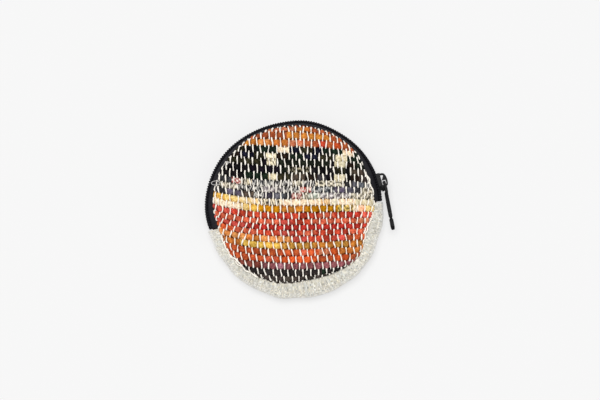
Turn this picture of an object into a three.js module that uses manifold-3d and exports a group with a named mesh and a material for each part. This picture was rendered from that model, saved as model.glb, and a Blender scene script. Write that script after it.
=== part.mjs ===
// Round coin purse, lying on its back: two round panels of thick rag-woven cloth, a gusset between them that
// is a linen strip below and a zip above, and a zip slider with a hinged pull.
// Millimetres, +Z up. The front panel faces +Z, the zip runs round the +Y side, and the origin is on the
// table under the middle.
import * as THREE from "three";
import { mergeVertices } from "three/addons/utils/BufferGeometryUtils.js";
import Module from "manifold-3d";

const wasm = await Module();
wasm.setup();

const degrees = THREE.MathUtils.degToRad;
const lerp = THREE.MathUtils.lerp;

// Overall size, and the clearance between neighbouring pieces
const OUTLINE_RADIUS = 50;
const FIT_GAP = 0.3;

// The rim at evenly spaced stations, from +X towards +Y: seam is the front panel's radius about its own
// centre, widest is the radius of the whole purse about the origin.
const RIM_STATIONS = [
  { angle: 0, seam: 44.8, widest: 49.2 },
  { angle: 20, seam: 43.8, widest: 49.8 },
  { angle: 40, seam: 44.8, widest: 50.0 },
  { angle: 60, seam: 44.5, widest: 49.7 },
  { angle: 80, seam: 44.0, widest: 49.9 },
  { angle: 100, seam: 43.7, widest: 48.9 },
  { angle: 120, seam: 44.1, widest: 49.0 },
  { angle: 140, seam: 44.4, widest: 49.8 },
  { angle: 160, seam: 45.1, widest: 49.9 },
  { angle: 180, seam: 45.0, widest: 49.8 },
  { angle: 200, seam: 44.1, widest: 48.2 },
  { angle: 220, seam: 45.4, widest: 48.3 },
  { angle: 240, seam: 45.2, widest: 48.5 },
  { angle: 260, seam: 44.7, widest: 48.8 },
  { angle: 280, seam: 43.1, widest: 48.6 },
  { angle: 300, seam: 44.4, widest: 49.4 },
  { angle: 320, seam: 46.2, widest: 50.0 },
  { angle: 340, seam: 43.0, widest: 49.2 },
];

// Panels: the front one has slid towards the zip and is domed, the back one is flattened on the table.
const CLOTH_THICKNESS = 2.6;
const EDGE_ROLL = { height: 3, from: 0.92 };
const FRONT_CENTRE = new THREE.Vector3(0, 3, 0);
const FRONT_SEAM_HEIGHT = 15;
const FRONT_RISE = 1.5;
const FRONT_DOME = 2.4;
const BACK_CENTRE = new THREE.Vector3(0, -1.2, 0);
const BACK_RADIUS = 46.6;

// The cloth's weft rows run across the panel as ribs.
const WEFT_ROWS = 24;
const WEAVE_TURN = degrees(-1.5);
const RIB_DEPTH = 0.8;
const DISC_COLUMNS = 14;
const DISC_END = 0.994;

// Gusset: the linen strip and the zip tapes, as angles round the rim
const ZIP_FROM = degrees(4.8);
const ZIP_TO = degrees(194.2);
const BULGE_HEIGHT = 0.48;
const LINEN_THICKNESS = 1.2;
const TAPE_THICKNESS = 1.0;
const TAPE_RECESS = 1.6;
const TAPE_SLIT = 0.15;
const END_GAP = (2 * FIT_GAP) / OUTLINE_RADIUS;

// Zip chain: two rows of coil teeth that mesh along the slit
const TOOTH_PITCH = 1.4;
const CHAIN_SPREAD = 0.17;
const CHAIN_BASE = 0.65;
const CHAIN_SHOULDER = 1.0;
const CHAIN_GROOVE = 1.15;
const CHAIN_CREST = 1.7;

// Slider and pull, in the slider's own axes: x along the zip towards its closed end, y outwards, z across
const SLIDER_ANGLE = degrees(17.5);
const SLIDER = { length: 10.5, rearWidth: 6.6, frontWidth: 8.2, noseWidth: 5.2, shoulder: 1.6, plate: 1.0 };
const UPPER_PLATE_BASE = 1.95;
const LOWER_PLATE_BASE = -3.6;
const LOWER_PLATE_SCALE = 0.7;
const FLANGE = { length: 7.4, thickness: 0.7, drop: 1.2, offset: 3.3 };
const POST = { length: 2.4, width: 0.6, middle: 3.4 };
const PIVOT = { x: 0.5, aboveUpperPlate: 1.2 };
const PULL_LEAN = degrees(-4.8);
const EYE = { from: 0.45, to: 5.0, width: 2.8 };

// The crown's side view from foot to foot, and its window, as heights over the plate that its feet sink into
const CROWN_WIDTH = 2.0;
const CROWN_FOOT = -0.5;
const CROWN_OUTLINE = [
  { x: -4.9, height: CROWN_FOOT },
  { x: -4.8, height: 1.5 },
  { x: -4.2, height: 2.45 },
  { x: -2.9, height: 3.05 },
  { x: -0.9, height: 3.35 },
  { x: 1.0, height: 3.25 },
  { x: 2.3, height: 2.85 },
  { x: 2.8, height: 2.2 },
  { x: 3.1, height: 1.0 },
  { x: 5.0, height: 0.4 },
  { x: 5.1, height: CROWN_FOOT },
];
const CROWN_WINDOW = [
  { x: 1.8, height: CROWN_FOOT },
  { x: 1.8, height: 1.8 },
  { x: 1.35, height: 2.35 },
  { x: -0.25, height: 2.35 },
  { x: -0.7, height: 1.9 },
  { x: -0.7, height: 0.35 },
  { x: -1.0, height: 0.35 },
  { x: -3.2, height: 1.6 },
  { x: -3.6, height: 1.3 },
  { x: -3.7, height: CROWN_FOOT },
];

// The pull's sections from its bar to its tip, with how far each reaches in towards the slider and out
const PULL_SECTIONS = [
  { name: "bar end", along: -0.85, width: 5.2, inner: 0.35, outer: 0.35 },
  { name: "bar side", along: -0.6, width: 5.2, inner: 0.62, outer: 0.62 },
  { name: "bar", along: -0.2, width: 5.2, inner: 0.84, outer: 0.84 },
  { name: "bar front", along: 0.45, width: 5.2, inner: 0.78, outer: 0.82 },
  { name: "rails", along: 1.8, width: 5.2, inner: 0.55, outer: 1.15 },
  { name: "eye end", along: 5.3, width: 5.2, inner: 0.45, outer: 1.2 },
  { name: "neck", along: 6.2, width: 4.6, inner: 0.95, outer: 1.05 },
  { name: "stem middle", along: 14.0, width: 3.6, inner: 1.1, outer: 1.1 },
  { name: "stem end", along: 19.3, width: 3.4, inner: 1.05, outer: 1.05 },
  { name: "notch", along: 20.2, width: 3.0, inner: 0.65, outer: 0.65 },
  { name: "grip start", along: 21.1, width: 4.2, inner: 1.1, outer: 1.1 },
  { name: "grip", along: 24.9, width: 4.2, inner: 1.15, outer: 1.15 },
  { name: "shoulder", along: 26.3, width: 3.2, inner: 1.0, outer: 1.0 },
  { name: "tip", along: 26.9, width: 1.8, inner: 0.65, outer: 0.65 },
];
const PULL_CHAMFER = 0.3;

// The rim's sizes at any angle, on a closed curve through the stations
const rimCurve = new THREE.CatmullRomCurve3(
  RIM_STATIONS.map(({ seam, widest }) => new THREE.Vector3(seam, widest, 0)),
  true,
  "catmullrom",
);

function rimAt(angle) {
  const sizes = rimCurve.getPoint(THREE.MathUtils.euclideanModulo(angle / (2 * Math.PI), 1));
  return { seam: sizes.x, widest: sizes.y };
}

function outwards(angle) {
  return new THREE.Vector3(Math.cos(angle), Math.sin(angle), 0);
}

function frontSeamPlane(y) {
  return FRONT_SEAM_HEIGHT + (FRONT_RISE * y) / OUTLINE_RADIUS;
}

// Height of a panel's rolled edge, from 1 over the flat middle to 0 at the rim
function edgeRoll(reach) {
  const past = Math.max(0, reach - EDGE_ROLL.from) / (1 - EDGE_ROLL.from);
  return Math.sqrt(Math.max(0, 1 - past * past));
}

// A point of the front panel over a point of the unit disc, on its outer or inner face
function frontSurface(x, y, inner) {
  const reach = Math.min(1, Math.hypot(x, y));
  const angle = Math.atan2(y, x) + WEAVE_TURN;
  const wall = inner ? CLOTH_THICKNESS : 0;
  const spot = FRONT_CENTRE.clone().addScaledVector(outwards(angle), reach * (rimAt(angle).seam - wall));
  const valley = inner ? 0 : Math.cos((Math.PI * WEFT_ROWS * (y + 1)) / 2) ** 2;
  const roll = (EDGE_ROLL.height - wall - RIB_DEPTH * valley) * edgeRoll(reach);
  spot.z = frontSeamPlane(spot.y) + roll + FRONT_DOME * (1 - reach * reach);
  return spot;
}

// A point of the back panel, which is flat where it rests
function backSurface(x, y, inner) {
  const reach = Math.min(1, Math.hypot(x, y));
  const wall = inner ? CLOTH_THICKNESS : 0;
  const radius = reach * (BACK_RADIUS - wall);
  const spot = BACK_CENTRE.clone().addScaledVector(outwards(Math.atan2(y, x)), radius);
  spot.z = EDGE_ROLL.height - (EDGE_ROLL.height - wall) * edgeRoll(reach);
  return spot;
}

// A disc of cloth with a wall: lines of points run across it, and the first and last lie on the rim.
function panelGeometry(surface, lineCount, facing) {
  const across = DISC_COLUMNS + 1;
  const points = [];
  for (const inner of [false, true]) {
    for (let line = 0; line <= lineCount; line++) {
      const y = THREE.MathUtils.clamp((2 * line) / lineCount - 1, -DISC_END, DISC_END);
      const onRim = line === 0 || line === lineCount;
      for (let column = 0; column < across; column++) {
        const x = Math.sin(Math.PI * (column / DISC_COLUMNS - 0.5)) * Math.sqrt(1 - y * y);
        const rimY = Math.sign(y) * Math.sqrt(1 - x * x);
        points.push(surface(x, onRim ? rimY : y, inner));
      }
    }
  }
  const innerStart = (lineCount + 1) * across;
  const triangles = [];
  const addTriangle = (a, b, c) => triangles.push(a, ...(facing > 0 ? [b, c] : [c, b]));
  for (let line = 0; line < lineCount; line++) {
    for (let column = 0; column < DISC_COLUMNS; column++) {
      const a = line * across + column;
      const [b, c, d] = [a + 1, a + 1 + across, a + across];
      addTriangle(a, b, c);
      addTriangle(a, c, d);
      addTriangle(innerStart + a, innerStart + c, innerStart + b);
      addTriangle(innerStart + a, innerStart + d, innerStart + c);
    }
  }
  const rim = rimLoop(lineCount, across);
  rim.forEach((p, i) => {
    const q = rim[(i + 1) % rim.length];
    addTriangle(q, p, innerStart + p);
    addTriangle(q, innerStart + p, innerStart + q);
  });
  return new THREE.BufferGeometry().setFromPoints(points).setIndex(triangles);
}

// The numbers of a disc's rim points, once round
function rimLoop(lineCount, across) {
  const last = across - 1;
  const loop = [];
  for (let column = 0; column < last; column++) loop.push(column);
  for (let line = 0; line < lineCount; line++) loop.push(line * across + last);
  for (let column = last; column > 0; column--) loop.push(lineCount * across + column);
  for (let line = lineCount; line > 0; line--) loop.push(line * across);
  return loop;
}

// A point of a panel's seam, round its own centre, that lies at an angle seen from the origin
function seamPoint(centre, radiusAt, angle) {
  const turned = angle - Math.asin((centre.y * Math.cos(angle)) / radiusAt(angle));
  return centre.clone().addScaledVector(outwards(turned), radiusAt(turned));
}

// A point of the gusset: across runs from 0 at the back seam to 1 at the front seam, depth is outwards, and
// recess is how far the strip's bulge stays inside the purse's outline.
function gussetPoint(angle, across, depth, recess) {
  const out = outwards(angle);
  const back = seamPoint(BACK_CENTRE, () => BACK_RADIUS, angle).setZ(EDGE_ROLL.height + FIT_GAP);
  const front = seamPoint(FRONT_CENTRE, (turned) => rimAt(turned).seam, angle);
  front.z = frontSeamPlane(front.y) - FIT_GAP;
  const reach = rimAt(angle).widest - recess;
  const bulge = out.clone().multiplyScalar(reach).setZ(lerp(back.z, front.z, BULGE_HEIGHT));
  const control = bulge.multiplyScalar(2).sub(back.clone().add(front).multiplyScalar(0.5));
  const section = new THREE.QuadraticBezierCurve3(back, control, front);
  const normal = new THREE.Vector3(-out.y, out.x, 0).cross(section.getTangent(across)).normalize();
  return section.getPoint(across).addScaledVector(normal, depth);
}

// The section of a strip of the gusset, as points of across and depth
function stripSection({ from, to, cuts, thickness }) {
  const edge = Array.from({ length: cuts + 1 }, (_, i) => lerp(from, to, i / cuts));
  const outer = edge.map((across) => new THREE.Vector2(across, 0));
  const inner = edge.map((across) => new THREE.Vector2(across, -thickness)).reverse();
  return [...outer, ...inner];
}

// A strip's section extruded straight, then bent round the rim; shapeDepth may change the depth at each step.
function bentStrip({ section, from, to, steps, recess = 0, shapeDepth = (across, depth) => depth }) {
  const shape = new THREE.Shape(section);
  const geometry = new THREE.ExtrudeGeometry(shape, { depth: 1, steps, bevelEnabled: false });
  const position = geometry.getAttribute("position");
  for (let i = 0; i < position.count; i++) {
    const [across, depth, along] = [position.getX(i), position.getY(i), position.getZ(i)];
    const shaped = shapeDepth(across, depth, Math.round(along * steps));
    const spot = gussetPoint(lerp(from, to, along), across, shaped, recess);
    position.setXYZ(i, spot.x, spot.y, spot.z);
  }
  return geometry;
}

function linenGeometry() {
  const section = stripSection({ from: 0, to: 1, cuts: 7, thickness: LINEN_THICKNESS });
  return bentStrip({ section, from: ZIP_TO, to: ZIP_FROM + 2 * Math.PI, steps: 46 });
}

function tapeGeometry(from, to) {
  const section = stripSection({ from, to, cuts: 4, thickness: TAPE_THICKNESS });
  return bentStrip({
    section,
    from: ZIP_FROM + END_GAP,
    to: ZIP_TO - END_GAP,
    steps: 48,
    recess: TAPE_RECESS,
  });
}

// The closed chain, from the slider's post to the zip's far end: at each step one row of teeth stands proud
// over the slit and the other lies low.
function chainGeometry() {
  const radius = OUTLINE_RADIUS - TAPE_RECESS;
  const from = SLIDER_ANGLE - (POST.middle - POST.length / 2 - FIT_GAP) / radius;
  const to = ZIP_TO - 2 * END_GAP;
  const middle = 0.5;
  const section = [
    new THREE.Vector2(middle - CHAIN_SPREAD, CHAIN_SHOULDER),
    new THREE.Vector2(middle - CHAIN_SPREAD / 2, CHAIN_CREST),
    new THREE.Vector2(middle + CHAIN_SPREAD / 2, CHAIN_CREST),
    new THREE.Vector2(middle + CHAIN_SPREAD, CHAIN_SHOULDER),
    new THREE.Vector2(middle + CHAIN_SPREAD, CHAIN_BASE),
    new THREE.Vector2(middle - CHAIN_SPREAD, CHAIN_BASE),
  ];
  const steps = 2 * Math.round(((to - from) * radius) / TOOTH_PITCH);
  const shapeDepth = (across, depth, step) => {
    const low = across > middle === (step % 2 === 0);
    return depth > CHAIN_GROOVE && low ? CHAIN_GROOVE : depth;
  };
  return bentStrip({ section, from, to, steps, recess: TAPE_RECESS, shapeDepth });
}

// A closed geometry as a solid that can be joined to others, and back
function solidOf(geometry) {
  const bare = new THREE.BufferGeometry();
  bare.setAttribute("position", geometry.getAttribute("position"));
  bare.setIndex(geometry.index);
  const merged = mergeVertices(bare, 1e-4);
  const vertProperties = new Float32Array(merged.getAttribute("position").array);
  const triVerts = new Uint32Array(merged.index.array);
  return new wasm.Manifold(new wasm.Mesh({ numProp: 3, vertProperties, triVerts }));
}

function geometryOf(solid) {
  const mesh = solid.getMesh();
  const geometry = new THREE.BufferGeometry();
  geometry.setAttribute("position", new THREE.BufferAttribute(new Float32Array(mesh.vertProperties), 3));
  geometry.setIndex(new THREE.BufferAttribute(new Uint32Array(mesh.triVerts), 1));
  return geometry;
}

// A flat outline in x and z, given a thickness upwards from a height in y
function plateFrom(shape, base, thickness) {
  const geometry = new THREE.ExtrudeGeometry(shape, {
    depth: thickness,
    bevelEnabled: false,
    curveSegments: 4,
  });
  return geometry.rotateX(-Math.PI / 2).translate(0, base, 0);
}

// The shield outline of the slider's plates, narrow at the rear and with a rounded nose
function shieldShape(scale) {
  const half = SLIDER.length / 2;
  const widths = [SLIDER.rearWidth, SLIDER.frontWidth, SLIDER.noseWidth];
  const [rear, front, nose] = widths.map((width) => (width * scale) / 2);
  const shape = new THREE.Shape();
  shape.moveTo(-half, -rear);
  shape.lineTo(SLIDER.shoulder, -front);
  shape.quadraticCurveTo(half, -front, half, -nose);
  shape.lineTo(half, nose);
  shape.quadraticCurveTo(half, front, SLIDER.shoulder, front);
  shape.lineTo(-half, rear);
  shape.closePath();
  return shape;
}

// The crown: a bridge on the upper plate, thick in the middle, with the pull's bar in the front of its window
function crownGeometry(top) {
  const corners = [...CROWN_OUTLINE, ...CROWN_WINDOW].map(({ x, height }) => new THREE.Vector2(x, height));
  const shape = new THREE.Shape(corners);
  const geometry = new THREE.ExtrudeGeometry(shape, { depth: CROWN_WIDTH, bevelEnabled: false });
  return geometry.translate(0, top, -CROWN_WIDTH / 2);
}

function sliderGeometry() {
  const top = UPPER_PLATE_BASE + SLIDER.plate;
  const postHeight = UPPER_PLATE_BASE - LOWER_PLATE_BASE;
  const postMiddle = (UPPER_PLATE_BASE + LOWER_PLATE_BASE + SLIDER.plate) / 2;
  const post = new THREE.BoxGeometry(POST.length, postHeight, POST.width);
  post.translate(POST.middle, postMiddle, 0);
  const flangeX = (FLANGE.length - SLIDER.length) / 2;
  const flanges = [-1, 1].map((side) =>
    new THREE.BoxGeometry(FLANGE.length, FLANGE.drop + SLIDER.plate / 2, FLANGE.thickness)
      .rotateY(side * Math.atan2(SLIDER.rearWidth - SLIDER.frontWidth, 2 * FLANGE.length))
      .translate(flangeX, UPPER_PLATE_BASE + SLIDER.plate / 4 - FLANGE.drop / 2, side * FLANGE.offset),
  );
  const pieces = [
    plateFrom(shieldShape(1), UPPER_PLATE_BASE, SLIDER.plate),
    plateFrom(shieldShape(LOWER_PLATE_SCALE), LOWER_PLATE_BASE, SLIDER.plate),
    post,
    ...flanges,
    crownGeometry(top),
  ];
  return geometryOf(pieces.map(solidOf).reduce((sum, solid) => sum.add(solid)));
}

// A square of side 1 with its corners cut
function cutSquare(cut) {
  const half = 0.5;
  const corners = [
    [-half, -half + cut],
    [-half + cut, -half],
    [half - cut, -half],
    [half, -half + cut],
    [half, half - cut],
    [half - cut, half],
    [-half + cut, half],
    [-half, half - cut],
  ];
  return new THREE.Shape(corners.map(([x, y]) => new THREE.Vector2(x, y)));
}

// The pull, with its pivot at the origin and its length along x: the sections joined, and the eye cut out
function pullGeometry() {
  const steps = PULL_SECTIONS.length - 1;
  const square = cutSquare(PULL_CHAMFER / 2);
  const geometry = new THREE.ExtrudeGeometry(square, { depth: 1, steps, bevelEnabled: false });
  const position = geometry.getAttribute("position");
  for (let i = 0; i < position.count; i++) {
    const { along, width, inner, outer } = PULL_SECTIONS[Math.round(position.getZ(i) * steps)];
    position.setXYZ(i, along, lerp(-inner, outer, position.getX(i) + 0.5), position.getY(i) * width);
  }
  const depth = 2 * SLIDER.length;
  const eye = new THREE.BoxGeometry(EYE.to - EYE.from, depth, EYE.width);
  eye.translate((EYE.to + EYE.from) / 2, 0, 0);
  return geometryOf(solidOf(geometry).subtract(solidOf(eye)));
}

const MATERIALS = {
  ragCloth: new THREE.MeshStandardMaterial({ color: 0xb5552f, roughness: 0.95, metalness: 0 }),
  linen: new THREE.MeshStandardMaterial({ color: 0xd9d3c0, roughness: 0.95, metalness: 0 }),
  zipTape: new THREE.MeshStandardMaterial({ color: 0x1c1a1d, roughness: 0.9, metalness: 0 }),
  zipCoil: new THREE.MeshStandardMaterial({ color: 0x141316, roughness: 0.55, metalness: 0 }),
  blackMetal: new THREE.MeshStandardMaterial({ color: 0x0d0d0e, roughness: 0.4, metalness: 0.8 }),
};

function piece(name, geometry, material) {
  const mesh = new THREE.Mesh(geometry, material);
  mesh.name = name;
  return mesh;
}

// The slider stands on the tapes at the closed end of the zip, and the pull hangs in its crown.
function sliderGroup() {
  const slider = new THREE.Group();
  const reach = SLIDER.length / 2 / OUTLINE_RADIUS;
  const [nose, middle, tail] = [-reach, 0, reach].map((turn) =>
    gussetPoint(SLIDER_ANGLE + turn, 0.5, 0, TAPE_RECESS),
  );
  slider.position.copy(middle);
  slider.rotation.z = Math.atan2(nose.y - tail.y, nose.x - tail.x);
  const pull = new THREE.Group();
  pull.position.set(PIVOT.x, UPPER_PLATE_BASE + SLIDER.plate + PIVOT.aboveUpperPlate, 0);
  pull.rotation.z = PULL_LEAN;
  pull.add(piece("zip_pull", pullGeometry(), MATERIALS.blackMetal));
  slider.add(piece("zip_slider", sliderGeometry(), MATERIALS.blackMetal), pull);
  return slider;
}

const purse = new THREE.Group();
purse.add(
  piece("front_panel", panelGeometry(frontSurface, 2 * WEFT_ROWS, 1), MATERIALS.ragCloth),
  piece("back_panel", panelGeometry(backSurface, WEFT_ROWS, -1), MATERIALS.ragCloth),
  piece("linen_gusset", linenGeometry(), MATERIALS.linen),
  piece("zip_tape_back", tapeGeometry(0, 0.5 - TAPE_SLIT / 2), MATERIALS.zipTape),
  piece("zip_tape_front", tapeGeometry(0.5 + TAPE_SLIT / 2, 1), MATERIALS.zipTape),
  piece("zip_chain", chainGeometry(), MATERIALS.zipCoil),
  sliderGroup(),
);

export default purse;
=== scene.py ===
"""Looks of the round coin purse: rag cloth, linen, coil zip, slider and pull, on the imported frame."""

import math
from typing import NamedTuple

import bpy
import numpy as np
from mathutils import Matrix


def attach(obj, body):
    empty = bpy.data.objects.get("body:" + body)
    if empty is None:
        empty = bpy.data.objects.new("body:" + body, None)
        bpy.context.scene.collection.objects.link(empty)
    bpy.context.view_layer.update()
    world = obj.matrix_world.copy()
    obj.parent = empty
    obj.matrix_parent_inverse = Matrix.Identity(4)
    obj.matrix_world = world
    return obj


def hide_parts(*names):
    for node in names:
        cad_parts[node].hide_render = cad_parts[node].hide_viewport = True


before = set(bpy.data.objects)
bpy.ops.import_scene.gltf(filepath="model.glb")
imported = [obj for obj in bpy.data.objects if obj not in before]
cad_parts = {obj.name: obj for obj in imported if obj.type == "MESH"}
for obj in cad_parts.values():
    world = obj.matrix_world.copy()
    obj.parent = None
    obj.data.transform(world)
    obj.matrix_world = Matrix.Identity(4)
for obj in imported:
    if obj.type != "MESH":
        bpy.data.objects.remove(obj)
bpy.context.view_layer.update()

MM = 0.001
TURN = 2 * math.pi
QUARTER = math.pi / 2

# Sizes that repeat the part's own, in millimetres: the rim at even angles from +X towards +Y
RIM_SEAM = (
    44.8, 43.8, 44.8, 44.5, 44.0, 43.7, 44.1, 44.4, 45.1,
    45.0, 44.1, 45.4, 45.2, 44.7, 43.1, 44.4, 46.2, 43.0,
)
RIM_WIDEST = (
    49.2, 49.8, 50.0, 49.7, 49.9, 48.9, 49.0, 49.8, 49.9,
    49.8, 48.2, 48.3, 48.5, 48.8, 48.6, 49.4, 50.0, 49.2,
)
OUTLINE_RADIUS = 50.0
FIT_GAP = 0.3
ROLL_HEIGHT = 3.0
ROLL_FROM = 0.92
FRONT_CENTRE = (0.0, 3.0)
FRONT_SEAM_HEIGHT = 15.0
FRONT_RISE = 1.5
FRONT_DOME = 2.4
BACK_CENTRE = (0.0, -1.2)
BACK_RADIUS = 46.6
BULGE_HEIGHT = 0.48
ZIP_FROM = math.radians(4.8)
ZIP_TO = math.radians(194.2)
END_GAP = 2 * FIT_GAP / OUTLINE_RADIUS
LINEN_THICKNESS = 1.2
TAPE_THICKNESS = 1.0
TAPE_RECESS = 1.6
TAPE_SLIT = 0.09
TOOTH_PITCH = 1.4
SLIDER_ANGLE = math.radians(17.5)

# The weave: warp yarns stand at an even pitch, and every second one passes over a weft row.
WARP_PITCH = 2.13
WARP_COUNT = 46
WARP_HALF_WIDTH = 0.37
WARP_HALF_THICKNESS = 0.4
CROSSING_JITTER = 0.5
CLOTH_MIDDLE = -1.25
WARP_LIFT = 0.85
# A warp's dash is longer than the row that it passes over by this share of its wave, more so higher up.
DASH_REACH = 0.3
UPPER_DASH_REACH = 0.65
DASH_SPREAD = 0.16


class Dye(NamedTuple):
    """A rag's colour and its print's, both sRGB, the share that the print covers, and its direction."""

    base: tuple
    print: tuple
    share: float = 0.35
    lengthwise: bool = False


DYES = {
    "rust": Dye((176, 92, 52), (150, 72, 42)),
    "rust_pink": Dye((196, 110, 76), (212, 140, 104), 0.4),
    "rust_red": Dye((196, 92, 50), (174, 72, 42)),
    "ochre_orange": Dye((202, 124, 56), (186, 102, 46)),
    "golden_ochre": Dye((198, 130, 54), (182, 106, 44), 0.3),
    "ochre_yellow": Dye((224, 182, 90), (210, 158, 66), 0.3),
    "ochre_olive": Dye((206, 150, 66), (178, 124, 54)),
    "orange_gold": Dye((230, 152, 54), (208, 122, 42), 0.3),
    "orange_red": Dye((218, 95, 46), (200, 78, 40), 0.3),
    "red_orange": Dye((213, 102, 54), (196, 82, 46)),
    "mustard": Dye((208, 142, 20), (188, 120, 18)),
    "yellow": Dye((236, 194, 92), (224, 172, 72), 0.3),
    "pale_yellow": Dye((236, 208, 142), (226, 190, 112)),
    "apricot": Dye((232, 160, 94), (216, 134, 70)),
    "red": Dye((204, 66, 50), (180, 52, 44), 0.3),
    "deep_red": Dye((188, 54, 43), (160, 42, 38)),
    "brick": Dye((202, 76, 50), (178, 58, 44)),
    "rose": Dye((210, 92, 76), (192, 70, 62)),
    "salmon": Dye((216, 110, 78), (202, 84, 62)),
    "peach": Dye((250, 214, 164), (242, 194, 138)),
    "pink_peach": Dye((246, 198, 162), (236, 168, 126)),
    "maroon_brown": Dye((132, 70, 58), (104, 54, 46), 0.4),
    "plum": Dye((152, 92, 94), (128, 74, 80)),
    "mauve": Dye((172, 116, 126), (150, 94, 108)),
    "purple": Dye((90, 82, 102), (114, 106, 116)),
    "purple_navy": Dye((58, 55, 68), (84, 80, 90)),
    "slate_blue": Dye((82, 84, 92), (112, 112, 118), 0.4),
    "navy": Dye((18, 18, 32), (34, 36, 52), 0.3),
    "black": Dye((16, 15, 17), (34, 31, 32), 0.3),
    "black_purple": Dye((26, 20, 30), (16, 15, 18), 0.4),
    "black_green": Dye((20, 24, 20), (38, 42, 32), 0.3),
    "dark_green": Dye((32, 46, 34), (20, 26, 22), 0.4),
    "olive": Dye((56, 52, 34), (34, 34, 26), 0.4),
    "dark_brown": Dye((44, 32, 24), (28, 22, 20), 0.4),
    "dark_grey": Dye((66, 64, 66), (44, 42, 46), 0.4),
    "charcoal": Dye((66, 58, 54), (80, 71, 66), 0.3),
    "soot": Dye((54, 47, 45), (44, 40, 41)),
    "brown_grey": Dye((96, 82, 70), (66, 58, 52), 0.4),
    "cream": Dye((244, 234, 210), (228, 214, 178), 0.25),
    "pink_cream": Dye((255, 240, 212), (246, 218, 184)),
    "beige": Dye((230, 220, 190), (204, 190, 154), 0.3),
    "cream_lines": Dye((240, 229, 198), (84, 70, 58), 0.18),
    "cream_squiggles": Dye((248, 234, 202), (66, 58, 54), 0.24),
    "pink_mix": Dye((255, 232, 196), (246, 212, 146), 0.4),
    "grey_hatch": Dye((58, 58, 62), (236, 232, 222), 0.34),
    "black_hatch": Dye((34, 34, 38), (230, 226, 218), 0.26),
    "slate_hatch": Dye((62, 66, 74), (226, 226, 222), 0.24),
    "beige_hatch": Dye((108, 100, 88), (240, 230, 208), 0.44),
    "mint_hatch": Dye((158, 162, 148), (236, 238, 226), 0.45),
    "lilac_hatch": Dye((112, 104, 108), (230, 224, 218), 0.36),
    "red_hatch": Dye((200, 62, 50), (246, 234, 222), 0.46),
    "red_slats": Dye((174, 60, 54), (246, 232, 222), 0.34, lengthwise=True),
    "beige_lines": Dye((32, 29, 24), (186, 176, 152), 0.11, lengthwise=True),
    "cream_slats": Dye((242, 232, 208), (74, 68, 60), 0.42, lengthwise=True),
    "gold_slats": Dye((238, 204, 118), (112, 90, 40), 0.36, lengthwise=True),
    "maroon_hatch": Dye((150, 58, 54), (242, 224, 210), 0.4),
}


class Row(NamedTuple):
    """A weft row: the height of its middle on the front, and its rags from the left as (dye, right end)."""

    y: float
    rags: tuple


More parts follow.
